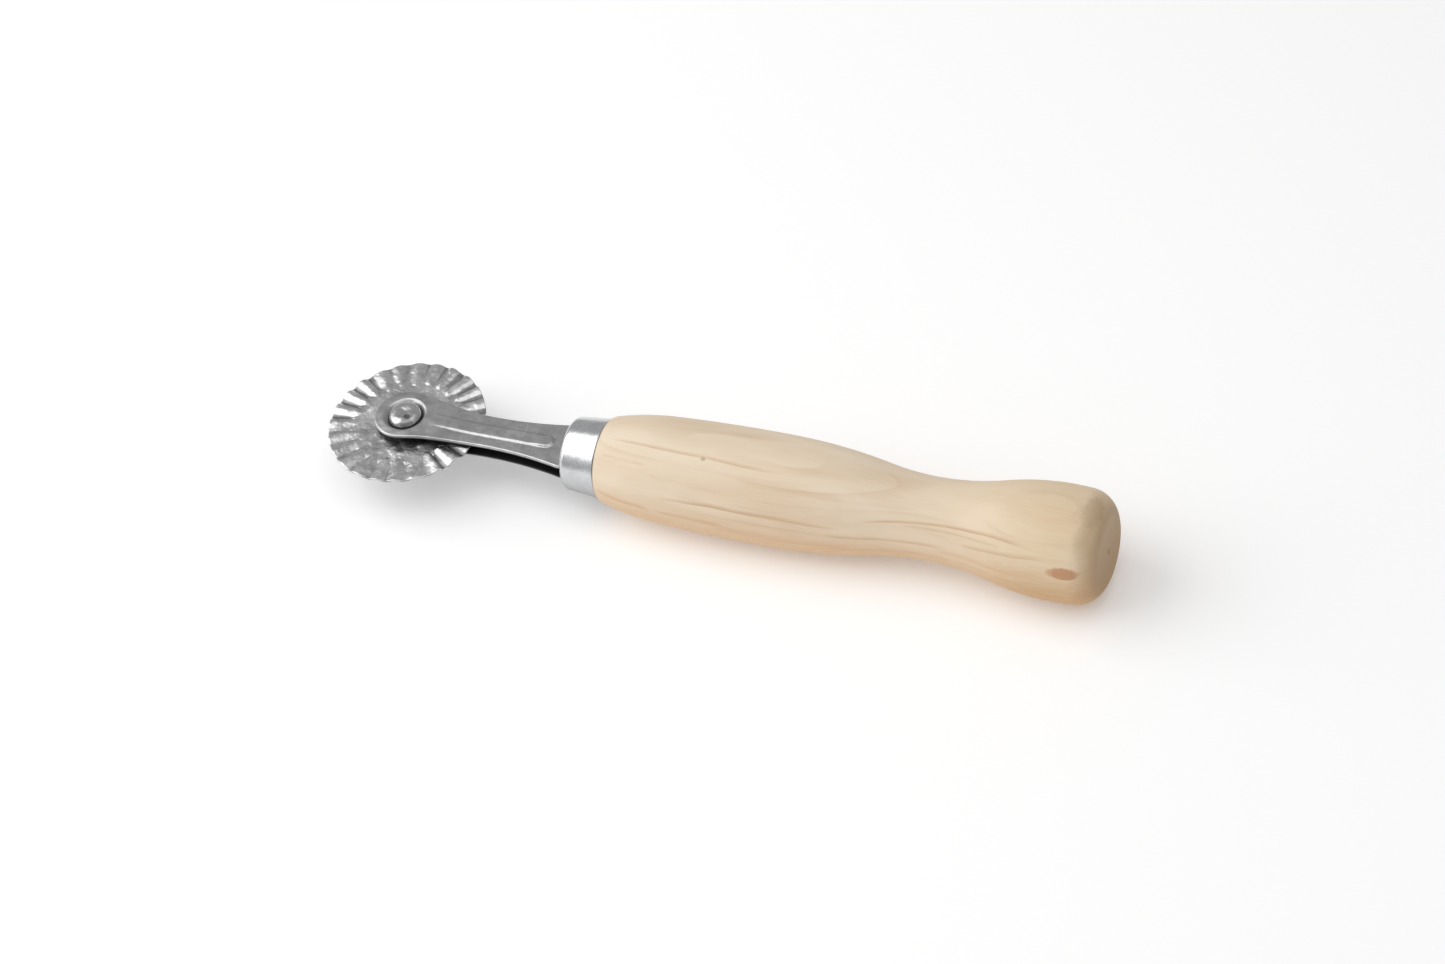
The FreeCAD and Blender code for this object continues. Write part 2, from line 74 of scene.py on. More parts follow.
# ---------------------------------------------------------------- places, from the CAD frame
def box_mm(node):
    """Lowest and highest corner of a CAD node, in millimetres."""
    low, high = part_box(node)
    return Vector(low) / MM, Vector(high) / MM


wheel_low, wheel_high = box_mm("pastry_wheel")
arm_low, arm_high = box_mm("fork_arm_upper")
rivet_low, rivet_high = box_mm("axle_rivet")
sleeve_low, sleeve_high = box_mm("axle_sleeve")
upper_washer_low, upper_washer_high = box_mm("hub_washer_upper")
lower_washer_low, lower_washer_high = box_mm("hub_washer_lower")
ferrule_low, ferrule_high = box_mm("ferrule")
handle_low, handle_high = box_mm("handle")

AXLE = (wheel_low + wheel_high) / 2
RIM_RADIUS = (wheel_high.x - wheel_low.x) / 2
WHEEL_HALF_HEIGHT = (wheel_high.z - wheel_low.z) / 2
BOSS_RADIUS = (arm_high.y - arm_low.y) / 2
BOSS_TOP = arm_high.z - AXLE.z

# ---------------------------------------------------------------- sizes that no box gives
# wheel
WHEEL_BORE = 2.56
WHEEL_HALF_SHEET = 0.25
RIM_ROUND = 0.12                    # the sheet's edge is rounded over this much
FLUTES = 24
FLUTE_START = 12.3                  # radius at which the middle of a flute starts
FLUTE_SIDE_LAG = 1.7                # its sides start this much further out
FLUTE_RISE = 1.1                    # the sheet rises into it over this much
FLUTE_TURN = 0.55                   # turn of the flutes about the axle, in flutes
SHOULDER_SHARE = 0.55               # height of a flute where it starts, as a share of that at the rim

# depth of the flutes around the rim, as (degrees, share) pairs: the sheet is pressed unevenly
FLUTE_DEPTHS = ((0, 0.70), (28, 0.90), (70, 0.92), (92, 0.58), (118, 0.46), (138, 0.50), (146, 0.98),
                (184, 0.92), (194, 0.46), (235, 0.54), (285, 0.54), (296, 0.26), (312, 0.26), (322, 0.97),
                (336, 0.90), (346, 0.45), (360, 0.70))

# fork arm: heights above the wheel plane, and runs measured along it from the axle
ARM_SHEET = 0.9
EDGE_ROLL = 0.45
SHAFT_TOP = 2.3
TANG_TOP = 0.95
JOGGLE = (3.0, 20.0)                # the outer face steps in from the boss to the shaft
TANG_STEP = (47.5, 52.5)            # and from the shaft to the tang
WAIST_HALF = 5.0
FLANK_RADIUS = 100.0
FLARE_END = 44.2
TANG_HALF = 4.0
TANG_SHOULDER = (48.0, 52.0)        # the plan changes to the tang's width
NOSE_DROP = 0.16                    # the brim of the round nose is rounded down by this
RIB_FRONT = 8.0
RIB_BACK = 38.9
RIB_HALF = 2.05
RIB_TOP_HALF = 1.5
RIB_HEIGHT = 0.29
DISH_FLOOR = 2.1
DISH_WALL = (4.0, 5.5)
DISH_CENTRE = Vector((0.2, -0.25))

# axle pieces
SHANK_RADIUS = 1.7
SLEEVE_BORE = 1.75
WASHER_BORE = 2.6
RIVET_HOLLOW = Vector((1.5, -1.4))  # a worn hollow in the rivet's face, from the axle


# ---------------------------------------------------------------- mesh helpers
def mesh_object(name, points, faces, smooth_angle=40.0):
    """A smooth-shaded mesh from points in millimetres."""
    mesh = bpy.data.meshes.new(name)
    mesh.from_pydata([tuple(float(c) * MM for c in point) for point in points], [], faces)
    mesh.validate()
    mesh.update()
    piece = bpy.data.objects.new(name, mesh)
    bpy.context.scene.collection.objects.link(piece)
    bpy.ops.object.select_all(action="DESELECT")
    piece.select_set(True)
    bpy.context.view_layer.objects.active = piece
    bpy.ops.object.mode_set(mode="EDIT")
    bpy.ops.mesh.select_all(action="SELECT")
    bpy.ops.mesh.remove_doubles(threshold=1e-7)
    bpy.ops.mesh.normals_make_consistent(inside=False)
    bpy.ops.object.mode_set(mode="OBJECT")
    bpy.ops.object.shade_smooth_by_angle(angle=math.radians(smooth_angle))
    return piece


def grid_faces(rows, columns, rows_close=False, columns_close=False):
    """Quads between neighbouring points of a grid that is stored row by row."""
    faces = []
    for row in range(rows if rows_close else rows - 1):
        here, after = row * columns, (row + 1) % rows * columns
        for column in range(columns if columns_close else columns - 1):
            ahead = (column + 1) % columns
            faces.append((here + column, here + ahead, after + ahead, after + column))
    return faces


def lathe(name, profile, origin, axis, segments=96, warp=None, smooth_angle=40.0):
    """Turns a closed profile of (along, radius) about an axis, "X" or "Z", through origin.

    warp, if given, maps (along, radius, angle) to a slightly different (along, radius).
    """
    points = []
    for along, radius in profile:
        for segment in range(segments):
            angle = math.tau * segment / segments
            place, reach = warp(along, radius, angle) if warp else (along, radius)
            across, up = reach * math.cos(angle), reach * math.sin(angle)
            local = (place, across, up) if axis == "X" else (across, up, place)
            points.append(Vector(local) + origin)
    return mesh_object(name, points, grid_faces(len(profile), segments, columns_close=True), smooth_angle)


def smoothstep(low, high, number):
    """0 below low, 1 above high, and a smooth rise between them."""
    share = min(1.0, max(0.0, (number - low) / (high - low)))
    return share * share * (3 - 2 * share)


def polar(radius, angle):
    """A point of the plane from its radius and angle."""
    return Vector((radius * math.cos(angle), radius * math.sin(angle)))


def draw_lumps(draw, count, places, heights, spreads):
    """Random lumps as (place, angle, height, spread) rows, each drawn from its (low, high) range."""
    ranges = (places, (0, math.tau), heights, spreads)
    return [tuple(draw.uniform(low, high) for low, high in ranges) for _ in range(count)]


def lump_height(lumps, radius, angle):
    """Summed height at a place of soft round lumps, where a lump's place is its radius."""
    spot = polar(radius, angle)
    total = 0.0
    for reach, heading, height, spread in lumps:
        away = spot - polar(reach, heading)
        total += height * math.exp(-away.length_squared / (spread * spread))
    return total


def finish_piece(piece, body, node, material):
    """Gives a piece its body, the CAD node that it stands for and its material."""
    piece.data.materials.clear()
    piece.data.materials.append(material)
    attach(piece, body)
    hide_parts(node)
    return piece


# ---------------------------------------------------------------- material helpers
class Nodes:
    """A material's node tree with short calls for the few node types used here."""

    def __init__(self, name):
        self.material = bpy.data.materials.new(name)
        self.material.use_nodes = True
        self.tree = self.material.node_tree
        self.shader = self.tree.nodes["Principled BSDF"]

    def add(self, kind, settings=None, **inputs):
        """Adds a node. settings are its properties, inputs are values or sockets by name."""
        node = self.tree.nodes.new("ShaderNode" + kind)
        for key, setting in (settings or {}).items():
            setattr(node, key, setting)
        for key, given in inputs.items():
            self.feed(node.inputs[key.replace("_", " ")], given)
        return node

    def feed(self, socket, given):
        """Links a socket to a socket, or sets a constant."""
        if isinstance(given, bpy.types.NodeSocket):
            self.tree.links.new(given, socket)
        else:
            socket.default_value = given

    def place(self, stretch=(1, 1, 1), shift=(0, 0, 0)):
        """Object coordinates in millimetres, stretched and then shifted."""
        coordinates = self.add("TexCoord").outputs["Object"]
        mapping = self.add("Mapping", Vector=coordinates)
        mapping.inputs["Scale"].default_value = [part / MM for part in stretch]
        mapping.inputs["Location"].default_value = shift
        return mapping.outputs["Vector"]

    def axes(self):
        """Object coordinates in millimetres, as separate sockets X, Y and Z."""
        return self.add("SeparateXYZ", Vector=self.place()).outputs

    def noise(self, vector, scale, detail=3.0, roughness=0.5, distortion=0.0):
        """A noise value of about 0 to 1."""
        return self.add("TexNoise", Vector=vector, Scale=scale, Detail=detail,
                        Roughness=roughness, Distortion=distortion).outputs["Fac"]

    def maths(self, operation, first, second=0.0, third=0.0, clamp=False):
        """One arithmetic step."""
        node = self.add("Math", {"operation": operation, "use_clamp": clamp})
        for socket, given in zip(node.inputs, (first, second, third)):
            self.feed(socket, given)
        return node.outputs[0]

    def smooth_rise(self, socket, start, end, low, high):
        """low up to start, high from end, and a smooth change between them."""
        rise = self.add("MapRange", {"interpolation_type": "SMOOTHSTEP"}, Value=socket)
        for key, setting in (("From Min", start), ("From Max", end), ("To Min", low), ("To Max", high)):
            rise.inputs[key].default_value = setting
        return rise.outputs["Result"]

    def ramp(self, value, *stops):
        """A colour ramp of (position, colour) stops, or of (position, grey) stops."""
        node = self.add("ValToRGB", Fac=value)
        elements = node.color_ramp.elements
        for number, (position, colour) in enumerate(stops):
            element = elements[number] if number < 2 else elements.new(position)
            element.position = position
            element.color = (*colour, 1) if isinstance(colour, tuple) else (colour, colour, colour, 1)
        return node.outputs["Color"]

    def mix(self, factor, first, second):
        """Mixes two colours."""
        node = self.add("Mix", {"data_type": "RGBA"})
        self.feed(node.inputs[0], factor)
        for socket, given in ((node.inputs[6], first), (node.inputs[7], second)):
            self.feed(socket, (*given, 1) if isinstance(given, tuple) else given)
        return node.outputs[2]

    def bump(self, height, distance_mm, strength=1.0, normal=None):
        """A bump of a height field."""
        node = self.add("Bump", Height=height, Distance=distance_mm * MM, Strength=strength)
        if normal is not None:
            self.feed(node.inputs["Normal"], normal)
        return node.outputs["Normal"]

    def soft_spot(self, centre, reaches, ragged=0.0):
        """1 at centre, falling to 0 over reaches along X, Y and Z, with a ragged edge if asked."""
        place = self.axes()
        spread = 0.0
        for key, middle, reach in zip("XYZ", centre, reaches):
            gap = self.maths("MULTIPLY", self.maths("SUBTRACT", place[key], middle), 1 / reach)
            spread = self.maths("MULTIPLY_ADD", gap, gap, spread)
        if ragged:
            ripple = self.noise(self.place((0.7, 1.1, 1.1)), 1.0, detail=4.0)
            spread = self.maths("ADD", spread, self.maths("MULTIPLY_ADD", ripple, 2 * ragged, -ragged))
        return self.smooth_rise(spread, 0.35, 1.0, 1.0, 0.0)

    def set(self, **inputs):
        """Sets or links the shader's own sockets."""
        for key, given in inputs.items():
            self.feed(self.shader.inputs[key.replace("_", " ")], given)


# ---------------------------------------------------------------- steel
DRAWN_LINES = (0.25, 4.0, 4.0)      # stretch of the fine texture: lines along X
EVEN_GRAIN = (1.5, 1.5, 1.5)        # or the same each way
# dark tone of the painted shade on the steel, and of the wheel's dark patches
DARKENING_TONE = (0.045, 0.044, 0.043)


def steel(name, tone, roughness, texture=DRAWN_LINES, contrast=0.14, scuff=0.5, ripple=0.3, grit=0.012,
          shade=None, scratch_and_highlight=None):
    """Satin sheet steel: a fine texture, soft ripples, blotches and scuffs.

    The last two arguments, if given, are functions that return 0 to 1 values: the first is 1 where
    painted shade, and on the wheel dark patches, darken the steel; the second is 1 where a bared
    scratch, and on the wheel painted highlights, lighten it.
    """
    nodes = Nodes(name)
    lines = nodes.noise(nodes.place(texture), 1.6, detail=5.0, roughness=0.6)
    blotches = nodes.noise(nodes.place(), 0.24, detail=5.0, roughness=0.65, distortion=0.5)
    scuffs = nodes.noise(nodes.place(), 0.9, detail=7.0, roughness=0.75, distortion=1.2)
    ripples = nodes.noise(nodes.place(), 0.33, detail=2.0)
    scuffed = nodes.ramp(scuffs, (0.50, 0.0), (0.72, 1.0))
    dark = tuple(part * (1 - contrast) for part in tone)
    light = tuple(min(1.0, part * (1 + contrast)) for part in tone)
    bare_and_highlight = tuple(min(1.0, part * 1.35) for part in tone)
    colour = nodes.mix(nodes.ramp(blotches, (0.34, 0.0), (0.66, 1.0)), dark, light)
    colour = nodes.mix(nodes.maths("MULTIPLY", scuffed, scuff), colour, bare_and_highlight)
    rough = nodes.maths("MULTIPLY_ADD", blotches, 0.16, roughness - 0.08)
    rough = nodes.maths("MULTIPLY_ADD", lines, 0.10, rough)
    # a bared scratch, and on the wheel painted highlights, lighten the steel
    if scratch_and_highlight:
        colour = nodes.mix(scratch_and_highlight(nodes), colour, bare_and_highlight)
    # painted shade, and on the wheel dark patches, darken the steel
    if shade:
        darkening = shade(nodes)
        colour = nodes.mix(darkening, colour, DARKENING_TONE)
        rough = nodes.maths("MULTIPLY_ADD", darkening, 0.25, rough)
    fine_height = nodes.maths("MULTIPLY_ADD", scuffed, 0.4, lines)
    normal = nodes.bump(ripples, ripple, 0.6)
    nodes.set(Base_Color=colour, Metallic=1.0, Roughness=rough,
              Normal=nodes.bump(fine_height, grit, 0.6, normal))
    return nodes.material


def height_off_plane(nodes):
    """Distance from the wheel plane, in millimetres."""
    return nodes.maths("ABSOLUTE", nodes.maths("SUBTRACT", nodes.axes()["Z"], AXLE.z))


def painted_shade_inside_fork(nodes):
    """Painted shade: 1 on what lies deeper than half a sheet below an arm's outer face, which is its inside
    face and the lower part of its cut edge.
    """
    place = nodes.axes()
    level = nodes.smooth_rise(place["X"], AXLE.x + JOGGLE[0], AXLE.x + JOGGLE[1], BOSS_TOP, SHAFT_TOP)
    along = nodes.maths("SUBTRACT", place["X"], AXLE.x)
    squares = nodes.maths("ADD", nodes.maths("MULTIPLY", along, along),
                          nodes.maths("MULTIPLY", place["Y"], place["Y"]))
    reach = nodes.maths("SQRT", squares)
    level = nodes.maths("ADD", level, nodes.smooth_rise(reach, *DISH_WALL, DISH_FLOOR - BOSS_TOP, 0.0))
    depth = nodes.maths("SUBTRACT", level, height_off_plane(nodes))
    return nodes.ramp(depth, (0.42, 0.0), (0.78, 1.0))


def scribe(nodes):
    """A faint broken line scratched across the arm, well behind the wheel."""
    behind_axle = 32.6
    slant = 0.12
    place = nodes.axes()
    slanted = nodes.maths("MULTIPLY_ADD", place["Y"], slant, place["X"])
    off = nodes.maths("ABSOLUTE", nodes.maths("SUBTRACT", slanted, AXLE.x + behind_axle))
    broken = nodes.noise(nodes.place((0.2, 0.5, 0.5), (4, 4, 4)), 1.0, detail=1.0)
    strength = nodes.ramp(broken, (0.36, 0.0), (0.52, 0.8))
    return nodes.maths("MULTIPLY", nodes.ramp(off, (0.05, 1.0), (0.22, 0.0)), strength)


def rivet_painted_shade(nodes):
    """Painted shade: 1 below the brim of the rivet's head, and lesser painted shade in a worn hollow of its
    face and at its near brim.
    """
    above_floor = nodes.maths("SUBTRACT", height_off_plane(nodes), DISH_FLOOR)
    below = nodes.ramp(above_floor, (0.30, 1.0), (0.5, 0.0))
    hollow_centre = (AXLE.x + RIVET_HOLLOW.x, RIVET_HOLLOW.y, rivet_high.z)
    brim_centre = (AXLE.x + 2.1, -3.1, rivet_high.z - 1.0)
    hollow = nodes.maths("MULTIPLY", nodes.soft_spot(hollow_centre, (1.15, 0.95, 1.6)), 0.78)
    brim = nodes.maths("MULTIPLY", nodes.soft_spot(brim_centre, (2.3, 1.5, 2.0)), 0.45)
    return nodes.maths("MAXIMUM", below, nodes.maths("MAXIMUM", hollow, brim))


def wheel_marks(nodes, places, strength):
    """Ragged spots on both faces of the wheel, as (centre, reaches) pairs measured from the axle."""
    total = 0.0
    for (along, across), (reach_along, reach_across) in places:
        centre = (AXLE.x + along, across, AXLE.z)
        spot = nodes.soft_spot(centre, (reach_along, reach_across, 9.0), ragged=2.2)
        total = nodes.maths("MAXIMUM", total, spot)
    return nodes.maths("MULTIPLY", total, strength)


def wheel_painted_highlights(nodes):
    """Painted highlights: bright patches on the wheel's flat centre."""
    places = (((-10.0, -0.8), (3.0, 3.4)), ((-9.9, 5.2), (1.6, 1.2)), ((2.0, -10.5), (2.6, 1.2)),
              ((6.0, 9.5), (2.0, 1.5)))
    return wheel_marks(nodes, places, 0.75)


def wheel_patches_and_valley_shade(nodes):
    """Dark patches on the wheel's flat centre, and painted shade along the valleys of its upper face."""
    places = (((-8.3, -5.3), (3.0, 2.0)), ((-6.0, 8.6), (2.4, 1.6)), ((-3.5, -9.6), (2.2, 1.4)),
              ((9.0, -7.0), (2.2, 2.2)))
    height = nodes.maths("SUBTRACT", nodes.axes()["Z"], AXLE.z)
    low = nodes.smooth_rise(height, -0.02, 0.10, 1.0, 0.0)
    upper_face = nodes.smooth_rise(height, -0.30, -0.22, 0.0, 0.55)
    valleys = nodes.maths("MULTIPLY", low, upper_face)
    return nodes.maths("MAXIMUM", wheel_marks(nodes, places, 0.30), valleys)


def ferrule_painted_low_shade(nodes):
    """Painted shade on the ferrule, darkest at its lowest side."""
    return nodes.smooth_rise(nodes.axes()["Z"], AXLE.z - 9, AXLE.z + 6, 0.60, 0.0)


# ---------------------------------------------------------------- wood
# clear growth lines: start and end along the handle, bearings at the start, middle and end in
# degrees above the near horizontal, width in degrees, strength
BROWN_LINES = ((-25, 24, (77, 70, 67), 3.2, 0.55), (-25, -11, (55, 54, 53), 3.0, 0.35),
               (-9, 40, (21, 20, 20), 3.5, 0.75), (42, 88, (29, 43, 38), 3.5, 0.75),
               (33, 66, (9, 9, 10), 4.5, 0.60), (68, 91, (22, 27, 30), 4.0, 0.55),
               (52, 80, (33, 35, 33), 3.0, 0.35), (5, 60, (58, 52, 60), 5.0, 0.22))
HONEY_LINES = ((-26, -10, (4, 2, 2), 6.0, 0.75), (-10, 10, (1, 0, 0), 5.0, 0.60),
               (4, 44, (-7, -8, -6), 7.0, 0.50), (60, 92, (4, 6, 12), 7.0, 0.50),
               (84, 100, (-12, -14, -15), 5.0, 0.75), (30, 70, (-14, -12, -12), 6.0, 0.50))

# colours of the wood and of what marks it, and of the shade painted low on it and in the joint
DEEPER_WOOD = (0.74, 0.575, 0.405)
PALE_WOOD = (0.85, 0.715, 0.55)
WARM_REAR = (0.735, 0.545, 0.315)
WARM_SHADED_UNDERSIDE = (0.70, 0.455, 0.25)
TANNED_SHADED_LOW = (0.57, 0.33, 0.14)
LIGHT_FIBRE = (0.86, 0.75, 0.60)
FAINT_LAYER = (0.60, 0.41, 0.25)
BROWN = (0.545, 0.325, 0.17)
HONEY = (0.66, 0.375, 0.175)
PORE = (0.50, 0.33, 0.19)
SPECK = (0.36, 0.27, 0.18)
KNOT = (0.52, 0.255, 0.125)
END_GRAIN = (0.43, 0.27, 0.13)
BUTT_FACE = (0.30, 0.20, 0.13)
STAIN = (0.30, 0.205, 0.12)
JOINT_SHADE = (0.13, 0.095, 0.065)


class Wood(Nodes):
    """Pale close-grained wood turned along X. The growth layers lie flat, across Z."""

    def __init__(self, name):
        super().__init__(name)
        place = self.axes()
        self.along = place["X"]
        self.height = self.maths("SUBTRACT", place["Z"], AXLE.z)
        # degrees above the near horizontal, turning over the top
        radians = self.maths("ARCTAN2", self.height, self.maths("MULTIPLY", place["Y"], -1.0))
        self.bearing = self.maths("MULTIPLY", radians, 180 / math.pi)
        self.fibres = self.noise(self.place((0.07, 2.4, 2.4)), 1.0, detail=6.0, roughness=0.65)
        pores = self.noise(self.place((0.16, 3.4, 3.4), (5, 3, 1)), 1.0, detail=2.0, roughness=0.4)
        self.flecks = self.ramp(pores, (0.70, 0.0), (0.80, 0.22))
        cloud = self.noise(self.place((0.03, 0.12, 0.12), (2, 9, 4)), 1.0, detail=3.0)
        self.colour = self.mix(self.ramp(cloud, (0.30, 0.0), (0.70, 1.0)), DEEPER_WOOD, PALE_WOOD)

    def tint(self, factor, colour):
        """Lays a colour over the wood, as far as factor says."""
        self.colour = self.mix(factor, self.colour, colour)

    def warmth_and_low_shade(self):
        """Warmer towards the butt; below, a warmer hue with painted shade, most of all low on the bulb; and
        pale fine fibres.
        """
        self.tint(self.smooth_rise(self.along, 58.0, 92.0, 0.0, 0.5), WARM_REAR)
        # painted shade: the wood darker and warmer towards the bottom, most of all low at the rear
        self.tint(self.smooth_rise(self.height, -9.0, 7.5, 0.95, 0.0), WARM_SHADED_UNDERSIDE)
        low = self.smooth_rise(self.height, -5.0, 7.0, 0.75, 0.0)
        rear = self.smooth_rise(self.along, 66.0, 90.0, 0.0, 1.0)
        self.tint(self.maths("MULTIPLY", low, rear), TANNED_SHADED_LOW)
        self.tint(self.ramp(self.fibres, (0.38, 0.0), (0.72, 0.30)), LIGHT_FIBRE)

    def growth_layers(self):
        """Faint flat growth layers all round."""
        spacing = 2.7
        wander = self.noise(self.place((0.011, 0.03, 0.03)), 1.0, detail=2.0)
        layer = self.maths("ADD", self.height, self.maths("MULTIPLY_ADD", wander, 7.0, -3.5))
        phase = self.maths("FRACT", self.maths("DIVIDE", layer, spacing))
        band = self.ramp(phase, (0.0, 0.2), (0.06, 0.0), (0.60, 0.0), (0.96, 1.0))
        fade = self.noise(self.place((0.025, 0.11, 0.11), (3, 7, 1)), 1.0, detail=2.0)
        self.tint(self.maths("MULTIPLY", band, self.ramp(fade, (0.44, 0.0), (0.68, 0.34))), FAINT_LAYER)

    def growth_lines(self):
        """The few clear growth lines, which wander a little and come and go."""
        wobble = self.noise(self.place((0.05, 0.05, 0.05), (2, 2, 6)), 1.0, detail=3.0)
        wandering = self.maths("ADD", self.bearing, self.maths("MULTIPLY_ADD", wobble, 8.0, -4.0))
        patches = self.noise(self.place((0.06, 0.15, 0.15), (9, 3, 2)), 1.0, detail=2.0)
        patchy = self.ramp(patches, (0.30, 0.45), (0.60, 1.0))
        for rows, colour in ((BROWN_LINES, BROWN), (HONEY_LINES, HONEY)):
            total = 0.0
            for row in rows:
                total = self.maths("MAXIMUM", total, self.growth_line(wandering, patchy, *row))
            self.tint(total, colour)

    def growth_line(self, wandering, patchy, start, end, bearings, width, strength):
        """A line from start to end along the handle through three bearings, soft on its upper side."""
        first, middle, last = bearings
        gone = self.maths("SUBTRACT", self.along, start)
        share = self.maths("MULTIPLY", gone, 1 / (end - start), clamp=True)
        hump = self.maths("MULTIPLY", share, self.maths("SUBTRACT", 1.0, share))
        course = self.maths("MULTIPLY_ADD", share, last - first, first)
        course = self.maths("MULTIPLY_ADD", hump, 4 * (middle - (first + last) / 2), course)
        off = self.maths("SUBTRACT", wandering, course)
        place = self.maths("MULTIPLY_ADD", off, 0.5 / width, 0.5)
        edge = self.ramp(place, (0.22, 0.0), (0.40, 1.0), (0.52, 0.75), (0.98, 0.0))
        ends = self.smooth_rise(hump, 0.0, 0.16, 0.0, strength)
        return self.maths("MULTIPLY", self.maths("MULTIPLY", edge, ends), patchy)

    def marks(self):
        """Pores, two dark specks, and a rust-brown knot mark low on the near side of the bulb."""
        self.tint(self.flecks, PORE)
        for centre in ((2.8, -5.1, AXLE.z + 12.7), (37.4, -0.5, AXLE.z + 13.3)):
            self.tint(self.maths("MULTIPLY", self.soft_spot(centre, (0.75, 0.55, 0.8)), 0.55), SPECK)
        knot = self.soft_spot((94.9, -13.1, AXLE.z + 4.6), (4.4, 4.0, 1.8), ragged=0.45)
        self.tint(self.maths("MULTIPLY", knot, 0.85), KNOT)

    def butt(self):
        """End grain and handling darken the rounded butt, most of all at its upper edge."""
        end_grain_start = handle_high.x - 5.8
        grubby = self.noise(self.place((0.12, 0.16, 0.16), (6, 1, 2)), 1.0, detail=4.0)
        fade_run = 6
        behind = self.maths("MULTIPLY", self.maths("SUBTRACT", self.along, end_grain_start), 1 / fade_run)
        behind = self.maths("ADD", behind, self.maths("MULTIPLY_ADD", grubby, 0.8, -0.4))
        self.tint(self.ramp(behind, (0.16, 0.0), (0.78, 0.60)), END_GRAIN)
        face = self.smooth_rise(self.along, handle_high.x - 1.6, handle_high.x - 0.1, 0.0, 0.38)
        self.tint(face, BUTT_FACE)
        stain = self.soft_spot((98.6, 0.5, AXLE.z + 12.0), (3.0, 5.5, 3.4), ragged=0.7)
        self.tint(self.maths("MULTIPLY", stain, 0.24), STAIN)

    def joint_shade(self):
        """Painted shade in the joint behind the ferrule."""
        joint = self.smooth_rise(self.along, handle_low.x + 8.05, handle_low.x + 8.5, 0.85, 0.0)
        self.tint(joint, JOINT_SHADE)

    def finish(self):
        """Sets the shader, with the fibres and the pores as fine relief."""
        relief = self.maths("MULTIPLY_ADD", self.fibres, 0.6, self.maths("MULTIPLY", self.flecks, -0.5))
        rough = self.maths("MULTIPLY_ADD", self.fibres, 0.15, 0.52)
        self.set(Base_Color=self.colour, Roughness=rough, Normal=self.bump(relief, 0.05, 0.5))
        self.shader.inputs["Specular IOR Level"].default_value = 0.35
        return self.material


def turned_wood(name):
    """The handle's wood, from its base colour to its marks, with painted shade low down and in the joint.
    """
    wood = Wood(name)
    wood.warmth_and_low_shade()
    wood.growth_layers()
    wood.growth_lines()
    wood.marks()
    wood.butt()
    wood.joint_shade()
    return wood.finish()


# ---------------------------------------------------------------- wheel
Flute = namedtuple("Flute", "valley lean finger flatness")


def draw_flutes(draw):
    """The uneven flutes: shift of the valley, lean of the crest, shift of its inner end, flatness.

    The crests lean one way on the handle's side of the axle, and the other way in front of it.
    """
    angles = [math.tau * number / FLUTES for number in range(FLUTES)]
    valleys = [draw.uniform(-0.09, 0.09) for _ in angles]
    leans = [draw.uniform(-0.15, 0.15) - 0.25 * math.cos(angle) for angle in angles]
    fingers = [draw.uniform(-0.5, 0.5) for _ in angles]
    flatness = [draw.uniform(2.2, 3.4) for _ in angles]
    return [Flute(*shape) for shape in zip(valleys, leans, fingers, flatness)]


def depth_at(angle):
    """The share of the full depth that the flutes have at an angle."""
    degrees = math.degrees(angle) % 360
    for (here, low), (there, high) in zip(FLUTE_DEPTHS, FLUTE_DEPTHS[1:]):
        if degrees <= there:
            return low + (high - low) * smoothstep(here, there, degrees)
    return FLUTE_DEPTHS[0][1]


def dent_height(lumps, radius, angle):
    """Height of the scuffed, uneven centre at a place, which dies out where the flutes begin."""
    if radius > FLUTE_START + 0.5:
        return 0.0
    fade = 1 - smoothstep(FLUTE_START - 1.5, FLUTE_START + 0.5, radius)
    return lump_height(lumps, radius, angle) * fade


def wheel_section(rim):
    """The wheel's section as a closed loop of (radius, side), where side is 1 above and -1 below."""
    flat_steps, fluted_steps = 26, 40
    inner = WHEEL_BORE + 0.1
    radii = [inner + step * (FLUTE_START - inner) / flat_steps for step in range(flat_steps)]
    radii += [FLUTE_START + step * (rim - FLUTE_START) / fluted_steps for step in range(fluted_steps + 1)]
    loop = [(radius, 1.0) for radius in radii]
    loop += [(rim + 0.75 * RIM_ROUND, 0.75), (rim + RIM_ROUND, 0.3)]
    loop += [(rim + RIM_ROUND, -0.3), (rim + 0.75 * RIM_ROUND, -0.75)]
    loop += [(radius, -1.0) for radius in reversed(radii)]
    return loop + [(WHEEL_BORE, -0.6), (WHEEL_BORE, 0.6)]


